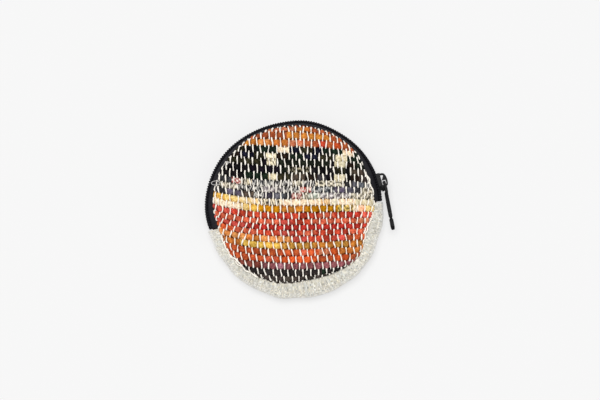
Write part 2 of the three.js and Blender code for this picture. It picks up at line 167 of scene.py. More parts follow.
FAR = 60.0
FRONT_ROWS = (
    Row(48.6, (("rust", FAR),)),
    Row(45.0, (("rust_pink", 1), ("ochre_orange", 10), ("rust", FAR))),
    Row(41.2, (("rust", -4), ("golden_ochre", 20), ("rust", FAR))),
    Row(36.6, (("golden_ochre", -20), ("apricot", -14), ("ochre_orange", -4), ("rust_pink", 5),
               ("rust", 13), ("brick", 18), ("rust", 22), ("orange_red", 27), ("rust", FAR))),
    Row(32.8, (("olive", -28), ("black", -20), ("dark_green", -9.3), ("pink_cream", -2.4), ("navy", 3),
               ("olive", 10), ("navy", 16), ("dark_green", 27), ("pink_cream", 33), ("dark_green", FAR))),
    Row(29.4, (("dark_brown", -30), ("navy", -22), ("olive", -15.5), ("cream", -9.5), ("dark_brown", -3),
               ("dark_green", 5), ("navy", 13), ("olive", 23), ("beige", 29), ("dark_green", FAR))),
    Row(25.9, (("olive", -18), ("black_purple", -15), ("cream_lines", -9.5), ("black_green", 19),
               ("black_purple", 22.5), ("beige", 28.5), ("dark_brown", 34), ("black_green", FAR))),
    Row(22.0, (("black", -26), ("black_purple", -8), ("black_green", -3.5), ("beige_lines", 8.5),
               ("black", 23), ("olive", 28), ("black", 31), ("brown_grey", FAR))),
    Row(18.0, (("black", -28), ("dark_green", -14.5), ("beige", -9.7), ("olive", -2), ("brown_grey", 6),
               ("dark_brown", 13), ("dark_grey", 18), ("black_purple", 22.3), ("cream", 28.5),
               ("black", 31), ("dark_brown", 36), ("charcoal", FAR))),
    Row(14.1, (("dark_grey", -34.5), ("red_slats", -29.5), ("beige_hatch", -26),
               ("cream_squiggles", -23.5), ("grey_hatch", -14), ("black_hatch", -1), ("beige_hatch", 5),
               ("grey_hatch", 12), ("cream_slats", 28), ("dark_grey", 32.5), ("slate_blue", 38),
               ("grey_hatch", FAR))),
    Row(11.1, (("dark_grey", -41), ("beige_hatch", -32), ("black_hatch", -18), ("lilac_hatch", -6),
               ("grey_hatch", 3), ("red_hatch", 7), ("maroon_hatch", 9.5), ("slate_hatch", 22.5),
               ("purple", 28), ("slate_blue", 34), ("dark_grey", 38), ("beige_hatch", FAR))),
    Row(7.4, (("dark_grey", -38), ("purple", -28), ("brown_grey", -22), ("grey_hatch", -17),
              ("purple_navy", -12), ("slate_blue", -6), ("dark_grey", -1), ("maroon_hatch", 4),
              ("beige_hatch", 8), ("mint_hatch", 14.5), ("lilac_hatch", 31), ("beige_hatch", FAR))),
    Row(4.1, (("ochre_yellow", -38), ("pale_yellow", -30.5), ("pink_mix", -20), ("cream_squiggles", -8),
              ("pink_cream", 14.5), ("peach", 20), ("cream", 25), ("pink_cream", 34), ("beige", FAR))),
    Row(0.1, (("pink_cream", -30), ("pale_yellow", -25.3), ("yellow", -19), ("mustard", -7),
              ("golden_ochre", 0), ("orange_gold", 7), ("mustard", 24), ("gold_slats", 33),
              ("pink_cream", 36), ("pink_peach", 39), ("pale_yellow", FAR))),
    Row(-3.6, (("rose", -34), ("brick", -10), ("red", 0), ("brick", 14), ("salmon", 22), ("brick", 29),
               ("red", 37), ("rose", FAR))),
    Row(-7.1, (("salmon", -8), ("rose", -1), ("brick", 8), ("salmon", 34), ("rust_pink", FAR))),
    Row(-10.0, (("rose", -26), ("deep_red", 34), ("red", FAR))),
    Row(-13.0, (("rust_red", -34), ("salmon", -20), ("brick", -9), ("rose", 0), ("brick", 4),
                ("salmon", 12), ("brick", 31), ("salmon", FAR))),
    Row(-16.4, (("apricot", -27), ("ochre_orange", -18), ("apricot", -2), ("rose", 9), ("brick", 22),
                ("rose", 28), ("rust_red", FAR))),
    Row(-20.1, (("ochre_orange", -30), ("yellow", -7), ("ochre_olive", 11), ("golden_ochre", 23),
                ("ochre_olive", 30), ("golden_ochre", FAR))),
    Row(-23.9, (("rust_red", 3), ("salmon", 9), ("red_orange", 14), ("rust_pink", 20), ("orange_red", 24),
                ("ochre_orange", FAR))),
    Row(-27.8, (("rust_red", -17), ("salmon", -9), ("orange_red", 13), ("rust_red", 23),
                ("orange_red", 30), ("rust", FAR))),
    Row(-31.5, (("maroon_brown", -18), ("plum", -10), ("mauve", -5), ("plum", FAR))),
    Row(-35.2, (("soot", 15.5), ("dark_green", 18.5), ("soot", FAR))),
    Row(-38.8, (("charcoal", FAR),)),
    Row(-42.3, (("charcoal", FAR),)),
)
# The back is another cut of the same cloth, so its stripes come in the same order from another start.
BACK_START = 9
BACK_ROWS = tuple(
    Row(row.y, FRONT_ROWS[(number + BACK_START) % len(FRONT_ROWS)].rags)
    for number, row in enumerate(FRONT_ROWS)
)


# Arithmetic that the pieces share


def linear(colour):
    """An sRGB colour of 0 to 255 as linear light, by the standard's own curve."""
    share = np.asarray(colour, dtype=float) / 255
    return np.where(share <= 0.04045, share / 12.92, ((share + 0.055) / 1.055) ** 2.4)


def smooth_step(value, low, high):
    part = np.clip((value - low) / (high - low), 0, 1)
    return part * part * (3 - 2 * part)


def signed_power(value, power):
    return np.sign(value) * np.abs(value) ** power


RIPPLE_COUNT = 3


def ripples(rng, x, columns, wavelengths, size):
    """Gentle unevenness along x, different in each column."""
    waves = rng.uniform(*wavelengths, (RIPPLE_COUNT, 1, columns))
    phases = rng.uniform(0, TURN, (RIPPLE_COUNT, 1, columns))
    return size * np.sin(TURN * x[None, :, None] / waves + phases).mean(axis=0)


def spline(before, start, end, after, part):
    """A point between start and end on a smooth curve through four points in turn."""
    bend = 2 * before - 5 * start + 4 * end - after
    twist = 3 * (start - end) + after - before
    return 0.5 * (2 * start + (end - before) * part + bend * part**2 + twist * part**3)


def round_curve(values):
    """A smooth closed curve through values at even angles, as a function of the angle."""
    stations = np.array(values)
    count = len(stations)

    def at(angle):
        place = np.mod(np.asarray(angle) / TURN, 1) * count
        first = np.floor(place).astype(int)
        four = (stations[(first + step) % count] for step in (-1, 0, 1, 2))
        return spline(*four, place - first)

    return at


seam_radius = round_curve(RIM_SEAM)
widest_radius = round_curve(RIM_WIDEST)


def front_plane(y):
    return FRONT_SEAM_HEIGHT + FRONT_RISE * y / OUTLINE_RADIUS


# Meshes


def mesh_object(name, points, faces, colours=None):
    """A smooth mesh object from points in millimetres, with one dye colour a point where they are given."""
    mesh = bpy.data.meshes.new(name)
    mesh.from_pydata((np.asarray(points) * MM).tolist(), [], faces)
    mesh.polygons.foreach_set("use_smooth", np.ones(len(mesh.polygons), dtype=bool))
    if colours is not None:
        opaque = np.concatenate([colours, np.ones((len(colours), 1))], axis=1)
        dye = mesh.color_attributes.new("dye", "FLOAT_COLOR", "POINT")
        dye.data.foreach_set("color", opaque.ravel())
    mesh.update()
    piece = bpy.data.objects.new(name, mesh)
    bpy.context.scene.collection.objects.link(piece)
    return piece


def tube_faces(rings, sides, first):
    """Faces of a tube of rings of points, numbered from first, with both ends closed."""
    ring = first + np.arange(rings - 1)[:, None] * sides
    side = np.arange(sides)[None, :]
    following = (side + 1) % sides
    near = (ring + side, ring + following)
    far = (ring + sides + following, ring + sides + side)
    quads = np.stack(near + far, axis=-1)
    last = first + (rings - 1) * sides
    caps = [list(range(first + sides - 1, first - 1, -1)), list(range(last, last + sides))]
    return quads.reshape(-1, 4).tolist() + caps


class TubeSet:
    """Tubes gathered to make one mesh."""

    def __init__(self):
        self.points = []
        self.colours = []
        self.faces = []
        self.count = 0

    def add(self, rings, colours=None):
        """Adds a tube from an array of rings, sides and places, with a colour for each point or none."""
        ring_count, sides, _ = rings.shape
        self.faces += tube_faces(ring_count, sides, self.count)
        self.points.append(rings.reshape(-1, 3))
        self.count += ring_count * sides
        if colours is not None:
            self.colours.append(colours.reshape(-1, 3))

    def build(self, name):
        colours = np.concatenate(self.colours) if self.colours else None
        return mesh_object(name, np.concatenate(self.points), self.faces, colours)


# A direction that no path runs along, which sets how the rings of a tube are turned
RING_GUIDE = (0.31, 0.22, 0.92)


def tube_along(path, radius, sides):
    """The rings of a round tube along a path of places."""
    tangent = np.gradient(path, axis=0)
    tangent /= np.linalg.norm(tangent, axis=1, keepdims=True)
    aside = np.cross(tangent, RING_GUIDE)
    aside /= np.linalg.norm(aside, axis=1, keepdims=True)
    above = np.cross(aside, tangent)
    turn = np.arange(sides) * TURN / sides
    ring = np.cos(turn)[None, :, None] * aside[:, None] + np.sin(turn)[None, :, None] * above[:, None]
    return path[:, None] + radius * ring


# Panels


class Panel(NamedTuple):
    """A round cloth panel: where it lies, its radius at an angle, its rows, and which way it faces."""

    centre: tuple
    radius: object
    rows: tuple
    facing: int


def roll_arc(radius):
    """Length of the panel's rolled edge, a quarter of an ellipse."""
    reach = (1 - ROLL_FROM) * radius
    return QUARTER * math.sqrt((reach**2 + ROLL_HEIGHT**2) / 2)


FLAT_STRETCH = ROLL_FROM + roll_arc(np.mean(RIM_SEAM)) / np.mean(RIM_SEAM)
FLAT_TO = ROLL_FROM / FLAT_STRETCH


def panel_part(panel, x, y):
    """How far a point of the flat cloth is from its middle, as a share of the way to its cut edge."""
    return np.hypot(x, y) / (panel.radius(np.arctan2(y, x)) * FLAT_STRETCH)


def panel_place(panel, x, y, height):
    """The place of a point of the flat cloth, at a height above the outside of the panel."""
    angle = np.arctan2(y, x)
    out = np.stack([np.cos(angle), np.sin(angle)], axis=-1)
    part = panel_part(panel, x, y)
    turn = QUARTER * np.maximum(0, part - FLAT_TO) / (1 - FLAT_TO)
    reach = np.where(turn > 0, ROLL_FROM + (1 - ROLL_FROM) * np.sin(turn), part * ROLL_FROM / FLAT_TO)
    dome = FRONT_DOME if panel.facing > 0 else 0.0
    slope = np.sin(turn) + np.cos(turn) * 2 * dome * reach / OUTLINE_RADIUS
    length = np.hypot(slope, np.cos(turn))
    spot = np.array(panel.centre) + (reach * panel.radius(angle) + height * slope / length)[..., None] * out
    base = front_plane(spot[..., 1]) if panel.facing > 0 else ROLL_HEIGHT
    rise = ROLL_HEIGHT * np.cos(turn) + dome * (1 - reach**2) + height * np.cos(turn) / length
    return np.concatenate([spot, (base + panel.facing * rise)[..., None]], axis=-1)


def pressed(panel, height):
    """Heights over the cloth, with those of the back held flat by the table that it lies on."""
    return height if panel.facing > 0 else np.minimum(height, 0)


ROW_REACH = 40.0
# Each as a level, and its change with the height above the panel's middle and with its square
ROW_TILT = (-0.14, 0.92, 0.93)
ROW_CURL = (1.77, -2.27, -0.61)
ROW_SWEEP = (1.8, 0.12, 0.0)


def by_height(levels, above):
    return levels[0] + levels[1] * above + levels[2] * above**2


def row_line(x, y):
    """The height of a weft row at x: the upper rows fall to the right, and the lower ones curl up."""
    along = x / ROW_REACH
    above = y / ROW_REACH
    tilt, curl, sweep = (by_height(levels, above) for levels in (ROW_TILT, ROW_CURL, ROW_SWEEP))
    return y - tilt * along + curl * along**2 - sweep * along**3


# How far the warps wander together from their even places, and how slowly, across and from row to row
CROSSING_WANDER = 0.25
WANDER_ACROSS = 7
WANDER_ROWS = 2.5


def panel_crossings(panel, rng):
    """Where each warp crosses each weft row, across the flat cloth."""
    even = (np.arange(WARP_COUNT) - (WARP_COUNT - 1) / 2) * WARP_PITCH
    jitter = rng.uniform(-CROSSING_JITTER, CROSSING_JITTER, (len(panel.rows), WARP_COUNT))
    numbers = np.arange(len(panel.rows))[:, None]
    wander = CROSSING_WANDER * np.sin(even / WANDER_ACROSS + numbers / WANDER_ROWS)
    return even + jitter + wander


def row_edges(panel):
    """The heights between the weft rows and beyond the first and last, from the panel's middle."""
    middles = np.array([row.y for row in panel.rows]) - FRONT_CENTRE[1]
    between = (middles[1:] + middles[:-1]) / 2
    return np.concatenate([[2 * middles[0] - between[0]], between, [2 * middles[-1] - between[-1]]])


SEAM_TUCK = 1.012
SPAN_TRIES = 2401
LEAST_RINGS = 4
WEFT_ANGLES = np.radians([0, 28, 56, 90, 124, 152, 180, 226, 270, 314])
WEFT_SQUARENESS = 0.9
# Where a weft strip's underside starts, and how far it spreads so that no hole shows
UNDER_FROM = math.pi + 0.1
UNDER_REACH = 1.45
# A weft strip where a warp crosses it, and what a pillow adds: its share of the row, thickness and level
CREASE_WIDTH = 0.68
PILLOW_WIDTH = (0.22, 0.52)
CREASE_THICKNESS = 0.62
PILLOW_THICKNESS = 0.48
CREASE_LEVEL = -1.9
PILLOW_LIFT = 0.8
PILLOW_COUNT = WARP_COUNT + 2
SWELL_POWER = 0.8
SWELL_SPREAD = (0.82, 1.06)
CRUMPLE_DEPTH = 0.26
CRUMPLE_WAVES = (2.5, 8)
CREASE_CRUMPLE = 0.35
ROW_WANDER = 0.2
ROW_WAVES = (6, 15)
# Painted shade: how much of the light a weft strip's colour keeps beside the warps and along its flanks
CREASE_SHADE = 0.72
FLANK_SHADE = 0.82
FLANK_POWER = 3
PRINT_PERIOD = 2.5
PRINT_SOFTNESS = 0.08
PRINT_SLANT = (0.4, 0.9)
# How far a print's strokes stray from even spacing, together and each on its own, as angles
PRINT_WOBBLE = 3.0
PRINT_FRAY = 0.8
PRINT_WAVES = (2.5, 7)
RAG_END_FRAY = 0.5
RAG_END_WAVES = (5, 9)
# How the light and the tint change from pillow to pillow
PILLOW_LIGHT = (0.7, 1.44)
PILLOW_TINT = 0.022


def weft_span(panel, middle, spacing):
    """The places along a weft row, from one cut edge of the panel to the other."""
    tried = np.linspace(-FAR, FAR, SPAN_TRIES)
    inside = tried[panel_part(panel, tried, row_line(tried, middle)) < SEAM_TUCK]
    if len(inside) < 2:
        return None
    count = max(LEAST_RINGS, round((inside[-1] - inside[0]) / spacing))
    return np.linspace(inside[0], inside[-1], count)


def of_pillow(values, pillow):
    """The value of the pillow that each place along a row is in."""
    return values[np.clip(pillow, 0, PILLOW_COUNT - 1)]


def print_strokes(x, across, lengthwise, rng):
    """A wave of 0 to 1 whose crests are the strokes of a print, slanting or along the row."""
    slant = rng.choice((-1, 1)) * rng.uniform(*PRINT_SLANT)
    wobble = ripples(rng, x, 1, PRINT_WAVES, PRINT_WOBBLE)
    fray = ripples(rng, x, across.shape[1], PRINT_WAVES, PRINT_FRAY)
    place = np.where(lengthwise, across, x[:, None] + slant * across)
    return 0.5 + 0.5 * np.sin(TURN * place / PRINT_PERIOD + (wobble + fray))


def rag_colours(rags, x, across, rng, pillow):
    """Linear colours of a weft row's rags, with their prints and a change from pillow to pillow."""
    ends = np.array([end for _, end in rags[:-1]])
    which = np.searchsorted(ends, x + ripples(rng, x, 1, RAG_END_WAVES, RAG_END_FRAY)[:, 0])
    dyes = [DYES[name] for name, _ in rags]
    base = linear([dye.base for dye in dyes])[which][:, None]
    printed = linear([dye.print for dye in dyes])[which][:, None]
    share = np.array([dye.share for dye in dyes])[which][:, None]
    lengthwise = np.array([dye.lengthwise for dye in dyes])[which][:, None]
    strokes = print_strokes(x, across, lengthwise, rng)
    cover = smooth_step(strokes, 1 - share - PRINT_SOFTNESS, 1 - share + PRINT_SOFTNESS)[..., None]
    light = rng.uniform(*PILLOW_LIGHT, (PILLOW_COUNT, 1))
    gain = of_pillow(light * rng.normal(1, PILLOW_TINT, (PILLOW_COUNT, 3)), pillow)[:, None]
    colours = base + (printed - base) * cover
    return colours * gain ** (1 - colours.mean(axis=-1, keepdims=True))


def with_painted_shade(colours, swell, flank):
    """Colours of a weft strip with painted shade in its creases and on its flanks, on dark colours more
    than light ones.
    """
    dark = 1 - (CREASE_SHADE + (1 - CREASE_SHADE) * swell)[:, None] * flank
    return colours * (1 - dark[..., None] * (1 - colours.mean(axis=-1, keepdims=True)))


def weft_tubes(panel, crossings, spacing, rng):
    """The weft: rows of rag strip that swell between the warps that pass over them."""
    tubes = TubeSet()
    edges = row_edges(panel)
    across = signed_power(np.cos(WEFT_ANGLES), WEFT_SQUARENESS)
    up = signed_power(np.sin(WEFT_ANGLES), WEFT_SQUARENESS)
    # Painted shade on the flanks of the weft strips
    flank = 1 - (1 - FLANK_SHADE) * np.abs(np.cos(WEFT_ANGLES)) ** FLANK_POWER
    under = WEFT_ANGLES > UNDER_FROM
    for number, row in enumerate(panel.rows):
        middle = (edges[number] + edges[number + 1]) / 2
        x = weft_span(panel, middle, spacing)
        if x is None:
            continue
        warp = np.interp(x, crossings[number], np.arange(WARP_COUNT))
        pillow = np.floor((warp + number) / 2).astype(int)
        swell = (0.5 - 0.5 * np.cos(math.pi * (warp + number))) ** SWELL_POWER
        swell = swell * of_pillow(rng.uniform(*SWELL_SPREAD, PILLOW_COUNT), pillow)
        fatness = of_pillow(rng.uniform(*PILLOW_WIDTH, PILLOW_COUNT), pillow)
        half_pitch = (edges[number] - edges[number + 1]) / 2
        half_height = half_pitch * (CREASE_WIDTH + fatness * swell)
        half_thickness = CREASE_THICKNESS + PILLOW_THICKNESS * swell
        level = CREASE_LEVEL + PILLOW_LIFT * swell
        crumple = ripples(rng, x, len(WEFT_ANGLES), CRUMPLE_WAVES, CRUMPLE_DEPTH)
        crumple = crumple * (CREASE_CRUMPLE + (1 - CREASE_CRUMPLE) * swell[:, None])
        spread = np.where(under, half_pitch * UNDER_REACH, half_height[:, None])
        aside = spread * across + ripples(rng, x, 1, ROW_WAVES, ROW_WANDER)
        height = pressed(panel, level[:, None] + half_thickness[:, None] * up + crumple)
        flat_x = np.broadcast_to(x[:, None], aside.shape)
        rings = panel_place(panel, flat_x, row_line(flat_x, middle) + aside, height)
        tubes.add(rings, with_painted_shade(rag_colours(row.rags, x, aside, rng, pillow), swell, flank))
    return tubes


WARP_SIDES = 7
WARP_STEPS = 8
# How far a warp slants each way where it shows: everywhere, and what is added in three parts of the panel
LEAN = 0.08
LOWER_LEAN = 0.24
RIGHT_LEAN = -0.4
LEFT_LEAN = -0.5
LEAN_SPREAD = 0.14
# Where each part begins and where it is full, as distances aside from and below the panel's middle
LOWER_BELOW = (12, 30)
BOTTOM_BELOW = (30, 37)
BOTTOM_FADE = 0.8
RIGHT_ASIDE = (26, 40)
RIGHT_BELOW = (-14, 0)
LEFT_ASIDE = (14, 28)
LEFT_BELOW = (4, 10)
LEFT_END_BELOW = (22, 28)
# The heights between which the dashes grow longer, how blunt their ends are, and how plump they are
UPPER_DASHES = (5, 17)
LIFT_POWER = 0.4
MEAN_ROW_PITCH = 3.7
PLUMP_SPREAD = 0.45
PLUMP_WAVES = (3, 9)
# Yarns that lie along the rim: the degrees where they start and end, and how near the edge
RIM_YARNS = ((203, 244, 0.985), (214, 230, 0.955), (333, 352, 0.98), (8, 24, 0.975))
RIM_YARN_STEP = 0.4
RIM_YARN_WANDER = 0.012
RIM_YARN_WAVES = (9, 20)
RIM_YARN_LEVEL = -0.1
RIM_YARN_LIFT = 0.5
RIM_YARN_LIFTS = (4, 9)


def dash_lean(x, y, rng):
    """How far a warp slants where it shows: to the right in the lower rows, to the left at the sides."""
    lower = smooth_step(-y, *LOWER_BELOW) * (1 - BOTTOM_FADE * smooth_step(-y, *BOTTOM_BELOW))
    right_edge = smooth_step(x, *RIGHT_ASIDE) * smooth_step(-y, *RIGHT_BELOW) * (1 - lower)
    left_side = smooth_step(-x, *LEFT_ASIDE) * smooth_step(-y, *LEFT_BELOW)
    left_side = left_side * (1 - smooth_step(-y, *LEFT_END_BELOW))
    uneven = rng.normal(0, LEAN_SPREAD, x.shape)
    return LEAN + LOWER_LEAN * lower + RIGHT_LEAN * right_edge + LEFT_LEAN * left_side + uneven


def rim_yarn(panel, start, end, part, rng):
    """A warp yarn that lies along the panel's rim."""
    degrees = np.linspace(start, end, round((end - start) / RIM_YARN_STEP))
    angle = np.radians(degrees)
    wander = part + ripples(rng, degrees, 1, RIM_YARN_WAVES, RIM_YARN_WANDER)[:, 0]
    reach = wander * panel.radius(angle) * FLAT_STRETCH
    level = RIM_YARN_LEVEL + ripples(rng, degrees, 1, RIM_YARN_LIFTS, RIM_YARN_LIFT)[:, 0]
    path = panel_place(panel, reach * np.cos(angle), reach * np.sin(angle), level)
    return tube_along(path, WARP_HALF_THICKNESS, WARP_SIDES)


def warp_tubes(panel, crossings, steps, rng):
    """The warp: white yarns that pass over and under the weft rows in turn."""
    tubes = TubeSet()
    edges = row_edges(panel)
    rows = len(panel.rows)
    place = np.linspace(0, rows, rows * steps + 1)
    nominal = np.interp(place, np.arange(rows + 1), edges)
    middles = (edges[1:] + edges[:-1]) / 2
    turn = np.arange(WARP_SIDES) * TURN / WARP_SIDES
    evener = np.ones(steps + 1) / (steps + 1)
    row_place = place - 0.5
    row_numbers = np.arange(rows)
    reach = DASH_REACH + (UPPER_DASH_REACH - DASH_REACH) * smooth_step(nominal, *UPPER_DASHES)
    for number in range(WARP_COUNT):
        middle = np.interp(row_place, row_numbers, crossings[:, number])
        middle = np.convolve(np.pad(middle, steps // 2, mode="edge"), evener, "valid")
        slant = np.interp(row_place, row_numbers, dash_lean(crossings[:, number], middles, rng))
        middle = middle - slant * np.cos(math.pi * (place + number))
        y = row_line(middle, nominal)
        inside = panel_part(panel, middle, y) < SEAM_TUCK
        if inside.sum() < LEAST_RINGS:
            continue
        uneven = np.interp(row_place, row_numbers, rng.normal(0, DASH_SPREAD, rows))
        wave = np.cos(math.pi * (row_place + number)) + reach + uneven
        lift = signed_power(np.clip(wave, -1, 1), LIFT_POWER)
        level = CLOTH_MIDDLE + WARP_LIFT * lift
        plump = 1 + ripples(rng, place * MEAN_ROW_PITCH, 1, PLUMP_WAVES, PLUMP_SPREAD)[:, 0]
        x = middle[:, None] + WARP_HALF_WIDTH * plump[:, None] * np.cos(turn)
        height = pressed(panel, level[:, None] + WARP_HALF_THICKNESS * plump[:, None] * np.sin(turn))
        rings = panel_place(panel, x, np.broadcast_to(y[:, None], x.shape), height)
        tubes.add(rings[inside])
    return tubes


# Gusset


def seam_place(centre, radius_at, angle):
    """A point of a panel's seam, round its own centre, that lies at an angle seen from the origin."""
    turned = angle - np.arcsin(centre[1] * np.cos(angle) / radius_at(angle))
    radius = radius_at(turned)
    x = centre[0] + radius * np.cos(turned)
    y = centre[1] + radius * np.sin(turned)
    return np.stack([x, y, np.zeros_like(x)], axis=-1)


def back_radius(angle):
    return np.full_like(angle, BACK_RADIUS)


def gusset_place(angle, across, depth, recess=0.0):
    """A point of the gusset: across runs from the back seam to the front seam, and depth is outwards."""
    angle, across, depth = np.broadcast_arrays(angle, across, depth)
    out = np.stack([np.cos(angle), np.sin(angle), np.zeros_like(angle)], axis=-1)
    back = seam_place(BACK_CENTRE, back_radius, angle)
    back[..., 2] = ROLL_HEIGHT + FIT_GAP
    front = seam_place(FRONT_CENTRE, seam_radius, angle)
    front[..., 2] = front_plane(front[..., 1]) - FIT_GAP
    bulge = (widest_radius(angle) - recess)[..., None] * out
    bulge[..., 2] = back[..., 2] + BULGE_HEIGHT * (front[..., 2] - back[..., 2])
    control = 2 * bulge - (back + front) / 2
    part = across[..., None]
    spot = (1 - part) ** 2 * back + 2 * part * (1 - part) * control + part**2 * front
    tangent = (1 - part) * (control - back) + part * (front - control)
    round_way = np.stack([-out[..., 1], out[..., 0], np.zeros_like(angle)], axis=-1)
    normal = np.cross(round_way, tangent)
    normal /= np.linalg.norm(normal, axis=-1, keepdims=True)
    return spot + depth[..., None] * normal


def shell_faces(rows, columns):
    """Faces of a closed shell of two grids of points, the outer one first."""
    inner = rows * columns
    numbers = np.arange(inner).reshape(rows, columns)
    near, far = numbers[:-1], numbers[1:]
    outside = np.stack([near[:, :-1], far[:, :-1], far[:, 1:], near[:, 1:]], axis=-1).reshape(-1, 4)
    inside = np.stack([near[:, :-1], near[:, 1:], far[:, 1:], far[:, :-1]], axis=-1).reshape(-1, 4) + inner
    rim = np.concatenate([numbers[0, :-1], numbers[:-1, -1], numbers[-1, :0:-1], numbers[:0:-1, 0]])
    following = np.roll(rim, -1)
    edge = np.stack([rim, following, following + inner, rim + inner], axis=-1)
    return np.concatenate([outside, inside, edge]).tolist()


def shell_object(name, outside, inside, colours=None):
    """A sheet of cloth between an outer and an inner grid of places, with one colour through it."""
    points = np.concatenate([outside.reshape(-1, 3), inside.reshape(-1, 3)])
    both = None if colours is None else np.tile(colours.reshape(-1, 3), (2, 1))
    return mesh_object(name, points, shell_faces(*outside.shape[:2]), both)


STRIP_WIDTH = 13.6
# Where the slit lies across the gusset, and the edges of the tapes beside it
SLIT_PART = 0.5
SLIT_BACK = SLIT_PART - TAPE_SLIT / 2
SLIT_FRONT = SLIT_PART + TAPE_SLIT / 2
LINEN_PITCH = 0.7
LINEN_STEPS = 3
LINEN_RELIEF = 0.13
THREAD_ROUNDNESS = 0.7
THREAD_WAVE = 0.5
# Puckers and finer pleats along the front seam: their depth, lengths, and where they start and are full
PUCKER_DEPTH = 0.3
PUCKER_WAVES = (4.5, 9)
PUCKER_ACROSS = (0.45, 0.95)
PLEAT_DEPTH = 0.14
PLEAT_WAVES = (1.7, 3.6)
PLEAT_ACROSS = (0.6, 0.92)
FULLNESS = 0.4
SAG_DEPTH = 0.5
SAG_WAVES = (14, 30)
# The share of the strip's width in which it falls to the line of each seam
SEAM_SHARE = 0.125
LINEN_CREAM = np.array([0.568, 0.545, 0.478])
LINEN_WARMTH = np.array([0.02, 0.0, -0.02])
THREAD_SPREAD = 0.09
KNOT_SPREAD = 0.26
# How much yellower than its threads a crossing of two threads may be
KNOT_TINT = np.array([0.03, 0.015, -0.06])


def thread_heights(across, along):
    """The round height of threads laid side by side across, and their wave along, counted in threads."""
    thread = np.round(across)
    roundness = np.cos(math.pi * (across - thread)) ** THREAD_ROUNDNESS
    return roundness, THREAD_WAVE * np.cos(math.pi * (along + thread))


def linen_relief(along, across):
    """Height of a plain weave, with along and across counted in threads."""
    run_roundness, run_wave = thread_heights(across, along)
    cut_roundness, cut_wave = thread_heights(along, across)
    run = run_roundness + run_wave
    cut = cut_roundness - cut_wave
    return np.maximum(run, cut), run > cut


def thread_tints(rng, count):
    """A tint for each thread: cream, a little warmer or cooler, some paler and some darker."""
    warmth = rng.normal(0, 1, (count, 1)) * LINEN_WARMTH
    light = rng.normal(1, THREAD_SPREAD, (count, 1))
    return (LINEN_CREAM + warmth) * light


def linen_strip(rng):
    """The linen of the gusset, woven in relief and puckered along the front seam."""
    start = ZIP_TO
    end = ZIP_FROM + TURN
    threads_along = round((end - start) * OUTLINE_RADIUS / LINEN_PITCH)
    threads_across = round(STRIP_WIDTH / LINEN_PITCH)
    along = np.linspace(0, threads_along, threads_along * LINEN_STEPS + 1)[:, None]
    across = np.linspace(0, threads_across, threads_across * LINEN_STEPS + 1)[None, :]
    relief, lengthwise = linen_relief(along, across)
    part = across / threads_across
    place = along[:, 0] * LINEN_PITCH
    pucker = ripples(rng, place, 1, PUCKER_WAVES, PUCKER_DEPTH) * smooth_step(part, *PUCKER_ACROSS)
    pleat = ripples(rng, place, 1, PLEAT_WAVES, PLEAT_DEPTH) * smooth_step(part, *PLEAT_ACROSS)
    sag = (FULLNESS + ripples(rng, place, 1, SAG_WAVES, SAG_DEPTH)) * np.sin(math.pi * part)
    angle = start + (end - start) * along / threads_along
    fold = np.minimum(1, np.minimum(part, 1 - part) / SEAM_SHARE)
    surface = (pucker + pleat + sag) * fold
    outside = gusset_place(angle, part, surface + LINEN_RELIEF * (relief - 1 - THREAD_WAVE))
    inside = gusset_place(angle, part, surface - LINEN_THICKNESS)
    run_tints = thread_tints(rng, threads_across + 1)[np.round(across[0]).astype(int)][None, :]
    cut_tints = thread_tints(rng, threads_along + 1)[np.round(along[:, 0]).astype(int)][:, None]
    colours = np.where(lengthwise[..., None], run_tints, cut_tints)
    crossings = (threads_along + 1, threads_across + 1, 1)
    knots = rng.normal(1, KNOT_SPREAD, crossings) + np.abs(rng.normal(0, 1, crossings)) * KNOT_TINT
    colours = colours * knots[np.round(along).astype(int), np.round(across).astype(int)]
    return shell_object("linen_strip", outside, inside, np.clip(colours, 0, 1))


TAPE_RIB = 0.9
TAPE_RIB_DEPTH = 0.12
TAPE_KNIT = 0.6
TAPE_KNIT_SLANT = 0.4
TAPE_KNIT_DEPTH = 0.05
TAPE_ALONG_STEPS = 700
TAPE_ACROSS_STEPS = 22


def tape_strip(name, start, end):
    """One half of the zip tape, with its lengthwise ribs and the slanting stitches of its knit."""
    angle = np.linspace(ZIP_FROM + END_GAP, ZIP_TO - END_GAP, TAPE_ALONG_STEPS + 1)[:, None]
    part = np.linspace(start, end, TAPE_ACROSS_STEPS + 1)[None, :]
    across = part * STRIP_WIDTH
    along = angle * OUTLINE_RADIUS
    rib = np.abs(np.sin(math.pi * across / TAPE_RIB))
    side = np.where(np.floor(across / TAPE_RIB) % 2 == 0, 1, -1)
    knit = np.sin(TURN * (along + TAPE_KNIT_SLANT * side * across) / TAPE_KNIT)
    relief = TAPE_RIB_DEPTH * (rib - 1) + TAPE_KNIT_DEPTH * knit
    outside = gusset_place(angle, part, relief, TAPE_RECESS)
    inside = gusset_place(angle, part, np.full_like(relief, -TAPE_THICKNESS), TAPE_RECESS)
    return shell_object(name, outside, inside)


# A turn of the zip's coil: across from the slit, depth, and how far along the tape to the next turn
COIL_TURN = (
    (2.2, 0.52, 0.00),
    (2.15, 0.87, 0.02),
    (1.6, 1.12, 0.04),
    (0.5, 1.14, 0.06),
    (-0.35, 1.12, 0.08),
    (-0.72, 0.92, 0.12),
    (-0.74, 0.62, 0.16),
    (-0.35, 0.40, 0.24),
    (0.6, 0.34, 0.5),
    (1.7, 0.34, 0.84),
)
COIL_RADIUS = 0.36
COIL_SIDES = 7
# The coil starts this many end gaps from the end of the zip.
COIL_INSET = 1.5
COIL_FROM = ZIP_FROM + COIL_INSET * END_GAP
COIL_TO = ZIP_TO - END_GAP
COIL_RUN = (COIL_TO - COIL_FROM) * (OUTLINE_RADIUS - TAPE_RECESS)
